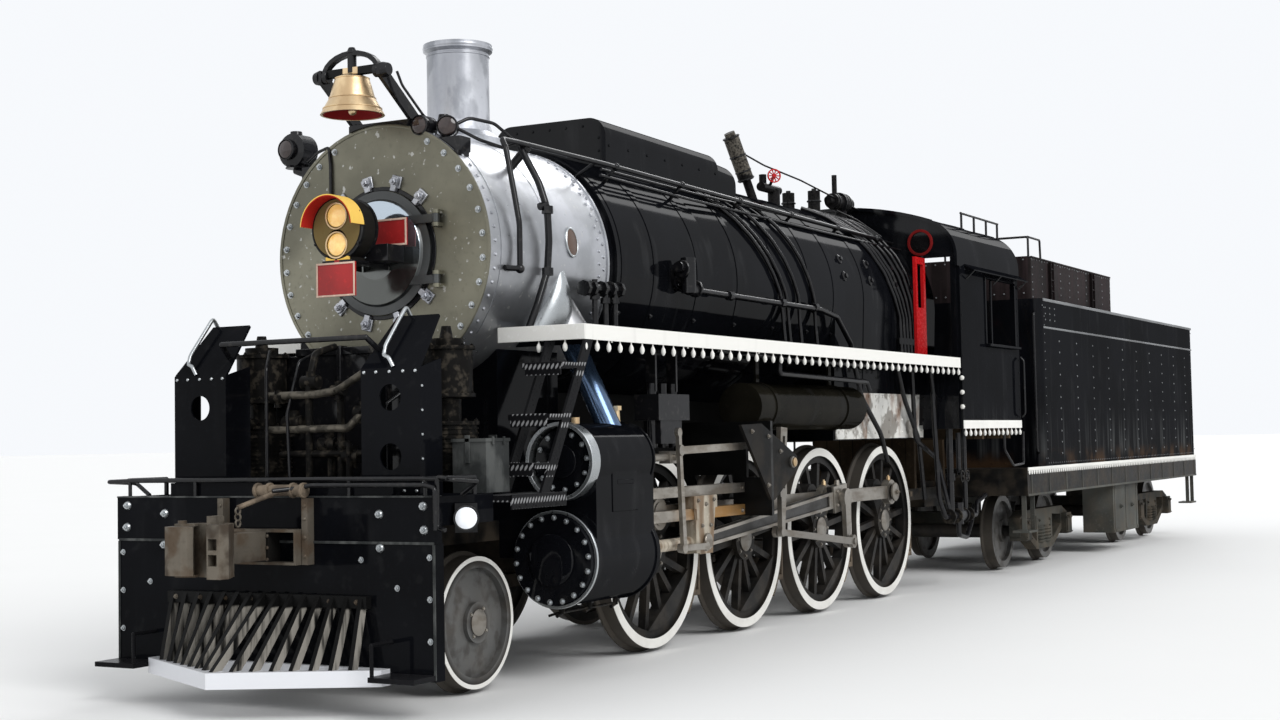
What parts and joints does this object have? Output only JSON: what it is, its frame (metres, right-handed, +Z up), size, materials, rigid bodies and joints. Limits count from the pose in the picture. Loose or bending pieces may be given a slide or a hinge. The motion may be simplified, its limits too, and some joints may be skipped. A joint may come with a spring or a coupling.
{
  "type": "steam locomotive with tender",
  "caption": "Black steam locomotive for heavy freight with graphite smokebox, air pumps on the front deck, pilot, cab and bogie tender.",
  "frame": {"origin": "midway between the coupler pulling faces, on the centre line, at the height of the wheel flange tips", "axes": "+X forward along the boiler, +Y to the left, +Z up from the rails"},
  "size_m": [21.03, 2.952, 4.4932],
  "materials": {
    "black_paint": "gloss",
    "rail_black": "gloss",
    "frame_black": "satin",
    "graphite": "satin graphite and aluminium",
    "sheet_silver": "satin",
    "rod_steel": "bright, oiled",
    "bar_steel": "worn",
    "wheel_black": "painted, rims picked out in white",
    "bell_brass": "polished",
    "door_red": "gloss",
    "plate_red": "gloss, blank",
    "lamp_yellow": "gloss",
    "bunker_brown": "dull",
    "cab_floor_wood": "worn",
    "seat_leather": "worn"
  },
  "bodies": {
    "engine": {"engine_frame": "frame_black", "front_deck": "black_paint", "pilot_sheet": "black_paint", "cow_catcher": "bar_steel", "front_coupler": "bar_steel", "pump_shields": "black_paint", "air_pumps": "frame_black", "front_steps": "frame_black", "smokebox": "graphite", "stack": "graphite", "bell_stand": "black_paint", "boiler_barrel": "black_paint", "firebox": "sheet_silver", "dome_casing": "black_paint", "steam_fittings": "black_paint", "feed_gear": "frame_black", "handrails": "rail_black", "cylinders": "black_paint", "steam_pipes": "sheet_silver", "guides": "rod_steel", "crossheads": "rod_steel", "main_rods": "rod_steel", "valve_gear": "rod_steel", "motion_brackets": "frame_black", "air_reservoirs": "black_paint", "lubricators": "frame_black", "brake_gear": "frame_black", "running_boards": "black_paint", "cab_front": "black_paint", "cab_sides": "black_paint", "cab_roof": "black_paint", "cab_floor": "cab_floor_wood", "cab_fittings": "seat_leather", "beam_lamps": "black_paint", "tool_box": "bar_steel"},
    "drivers_1": {"drivers_1": "wheel_black"},
    "drivers_2": {"drivers_2": "wheel_black"},
    "drivers_3": {"drivers_3": "wheel_black"},
    "drivers_4": {"drivers_4": "wheel_black"},
    "side_rod_left": {"side_rod_left": "rod_steel"},
    "side_rod_right": {"side_rod_right": "rod_steel"},
    "pony_truck": {"pony_truck": "frame_black"},
    "pony_wheels": {"pony_wheels": "wheel_black"},
    "smokebox_door": {"smokebox_door": "graphite", "headlight": "lamp_yellow", "number_plates": "plate_red"},
    "bell": {"bell": "bell_brass"},
    "cab_door_left": {"cab_door_left": "door_red"},
    "cab_door_right": {"cab_door_right": "door_red"},
    "tender": {"tender_frame": "frame_black", "tender_tank": "black_paint", "tender_bunker": "bunker_brown", "tender_fittings": "frame_black", "rear_coupler": "bar_steel"},
    "truck_front": {"truck_front": "frame_black"},
    "truck_rear": {"truck_rear": "frame_black"},
    "tender_wheels_1": {"tender_wheels_1": "wheel_black"},
    "tender_wheels_2": {"tender_wheels_2": "wheel_black"},
    "tender_wheels_3": {"tender_wheels_3": "wheel_black"},
    "tender_wheels_4": {"tender_wheels_4": "wheel_black"}
  },
  "joints": [
    {"name": "drivers_1_turn", "type": "hinge", "parent": "engine", "child": "drivers_1", "pos_m": [6.435, 0, 0.7526], "axis": [0, 1, 0], "continuous": true},
    {"name": "drivers_2_turn", "type": "hinge", "parent": "engine", "child": "drivers_2", "pos_m": [4.8602, 0, 0.7526], "axis": [0, 1, 0], "continuous": true},
    {"name": "drivers_3_turn", "type": "hinge", "parent": "engine", "child": "drivers_3", "pos_m": [3.2854, 0, 0.7526], "axis": [0, 1, 0], "continuous": true},
    {"name": "drivers_4_turn", "type": "hinge", "parent": "engine", "child": "drivers_4", "pos_m": [1.7106, 0, 0.7526], "axis": [0, 1, 0], "continuous": true},
    {"name": "side_rod_left_pin", "type": "hinge", "parent": "drivers_3", "child": "side_rod_left", "pos_m": [3.46027, 0.935, 1.03246], "axis": [0, 1, 0], "continuous": true},
    {"name": "side_rod_right_pin", "type": "hinge", "parent": "drivers_3", "child": "side_rod_right", "pos_m": [3.56526, -0.935, 0.57773], "axis": [0, 1, 0], "continuous": true},
    {"name": "pony_swing", "type": "hinge", "parent": "engine", "child": "pony_truck", "pos_m": [7.415, 0, 0.6286], "axis": [0, 0, 1], "range_deg": [-4, 4]},
    {"name": "pony_wheels_turn", "type": "hinge", "parent": "pony_truck", "child": "pony_wheels", "pos_m": [8.797, 0, 0.4476], "axis": [0, 1, 0], "continuous": true},
    {"name": "smokebox_door_swing", "type": "hinge", "parent": "engine", "child": "smokebox_door", "pos_m": [8.703, 0.475, 2.8546], "axis": [0, 0, 1], "range_deg": [0, 110]},
    {"name": "bell_swing", "type": "hinge", "parent": "engine", "child": "bell", "pos_m": [8.955, 0, 4.0136], "axis": [0, 1, 0], "range_deg": [-45, 45]},
    {"name": "cab_door_left_swing", "type": "hinge", "parent": "engine", "child": "cab_door_left", "pos_m": [0.951, 1, 2.8636], "axis": [0, 0, 1], "range_deg": [0, 90]},
    {"name": "cab_door_right_swing", "type": "hinge", "parent": "engine", "child": "cab_door_right", "pos_m": [0.951, -1, 2.8636], "axis": [0, 0, 1], "range_deg": [-90, 0]},
    {"name": "drawbar_swing", "type": "hinge", "parent": "engine", "child": "tender", "pos_m": [-0.715, 0, 0.9286], "axis": [0, 0, 1], "range_deg": [-5, 5]},
    {"name": "truck_front_swing", "type": "hinge", "parent": "tender", "child": "truck_front", "pos_m": [-2.865, 0, 0.6686], "axis": [0, 0, 1], "range_deg": [-6, 6]},
    {"name": "truck_rear_swing", "type": "hinge", "parent": "tender", "child": "truck_rear", "pos_m": [-8.265, 0, 0.6686], "axis": [0, 0, 1], "range_deg": [-6, 6]},
    {"name": "tender_wheels_1_turn", "type": "hinge", "parent": "truck_front", "child": "tender_wheels_1", "pos_m": [-2.027, 0, 0.4476], "axis": [0, 1, 0], "continuous": true},
    {"name": "tender_wheels_2_turn", "type": "hinge", "parent": "truck_front", "child": "tender_wheels_2", "pos_m": [-3.703, 0, 0.4476], "axis": [0, 1, 0], "continuous": true},
    {"name": "tender_wheels_3_turn", "type": "hinge", "parent": "truck_rear", "child": "tender_wheels_3", "pos_m": [-7.427, 0, 0.4476], "axis": [0, 1, 0], "continuous": true},
    {"name": "tender_wheels_4_turn", "type": "hinge", "parent": "truck_rear", "child": "tender_wheels_4", "pos_m": [-9.103, 0, 0.4476], "axis": [0, 1, 0], "continuous": true}
  ],
  "couplings": [
    {"joint": "drivers_1_turn", "follows": "drivers_3_turn", "ratio": 1},
    {"joint": "drivers_2_turn", "follows": "drivers_3_turn", "ratio": 1},
    {"joint": "drivers_4_turn", "follows": "drivers_3_turn", "ratio": 1},
    {"joint": "side_rod_left_pin", "follows": "drivers_3_turn", "ratio": -1},
    {"joint": "side_rod_right_pin", "follows": "drivers_3_turn", "ratio": -1}
  ]
}
